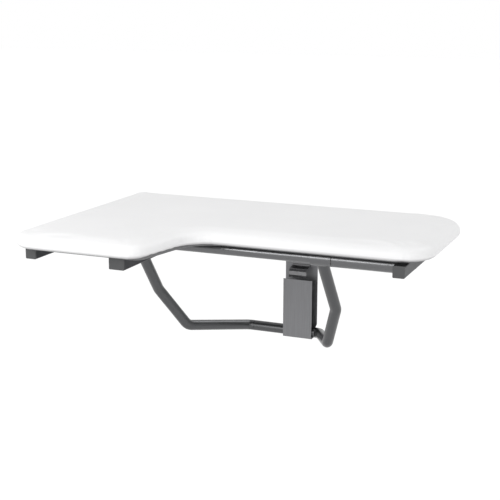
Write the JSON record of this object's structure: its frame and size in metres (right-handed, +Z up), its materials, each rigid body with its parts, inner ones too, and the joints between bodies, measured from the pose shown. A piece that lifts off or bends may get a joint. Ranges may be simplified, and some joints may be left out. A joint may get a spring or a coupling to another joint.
{
  "type": "wall-mounted folding shower seat",
  "caption": "L-shaped padded shower seat on a steel rail frame that folds up against the wall; a bent tube strut slides up a wall guide hook as it folds.",
  "frame": {"origin": "on the wall plane, at the centre of the four screw holes of the guide hook", "axes": "+X along the wall to the right for someone facing it, +Y into the wall so the seat reaches out towards -Y, +Z up; the seat is stored folded down, ready to sit on"},
  "size_m": [0.854, 0.6215, 0.3445],
  "materials": {
    "vinyl": "satin",
    "foam": "matte",
    "board": "matte",
    "plugs": "matte",
    "nylon": "matte",
    "brushed_sheet": "satin",
    "spring_strip": "satin",
    "plate_steel": "satin",
    "rail_steel": "satin",
    "tube_steel": "satin",
    "fixings": "satin"
  },
  "bodies": {
    "wall_mounts": {"catch_rivets": "fixings", "guide_hook": "brushed_sheet", "left_east_bush": "nylon", "left_east_ear": "plate_steel", "left_wall_plate": "plate_steel", "left_west_bush": "nylon", "left_west_ear": "plate_steel", "right_east_bush": "nylon", "right_east_ear": "plate_steel", "right_wall_plate": "plate_steel", "right_west_bush": "nylon", "right_west_ear": "plate_steel", "spring_catch": "spring_strip"},
    "seat": {"backing_board": "board", "board_screws": "fixings", "foam_core": "foam", "hinge_collars": "tube_steel", "hinge_rod": "tube_steel", "left_rail": "rail_steel", "left_rail_front_plug": "plugs", "left_rail_rear_plug": "plugs", "middle_rail": "rail_steel", "middle_rail_front_plug": "plugs", "middle_rail_rear_plug": "plugs", "pivot_spacer": "tube_steel", "pivot_tube": "tube_steel", "right_rail": "rail_steel", "right_rail_front_plug": "plugs", "right_rail_rear_plug": "plugs", "stop_collar": "tube_steel", "vinyl_cover": "vinyl"},
    "strut": {"left_arm_sleeve": "tube_steel", "left_sleeve_bush": "nylon", "left_strut_arm": "tube_steel", "right_arm_sleeve": "tube_steel", "right_sleeve_bush": "nylon", "right_strut_arm": "tube_steel"},
    "slide_bar": {"slide_bar": "tube_steel"}
  },
  "joints": [
    {"name": "seat_fold", "type": "hinge", "parent": "wall_mounts", "child": "seat", "pos_m": [0, -0.054, 0.0803], "axis": [-1, 0, 0], "range_deg": [0, 90]},
    {"name": "strut_swing", "type": "hinge", "parent": "seat", "child": "strut", "pos_m": [0, -0.356, 0.07683], "axis": [1, 0, 0], "range_deg": [0, 44.57]},
    {"name": "bar_slide", "type": "slide", "parent": "wall_mounts", "child": "slide_bar", "axis": [0, 0, 1], "range_m": [0, 0.1451]}
  ],
  "couplings": [
    {"joint": "strut_swing", "follows": "seat_fold", "ratio": 0.49516},
    {"joint": "bar_slide", "follows": "seat_fold", "m_per_rad": 0.092369}
  ]
}
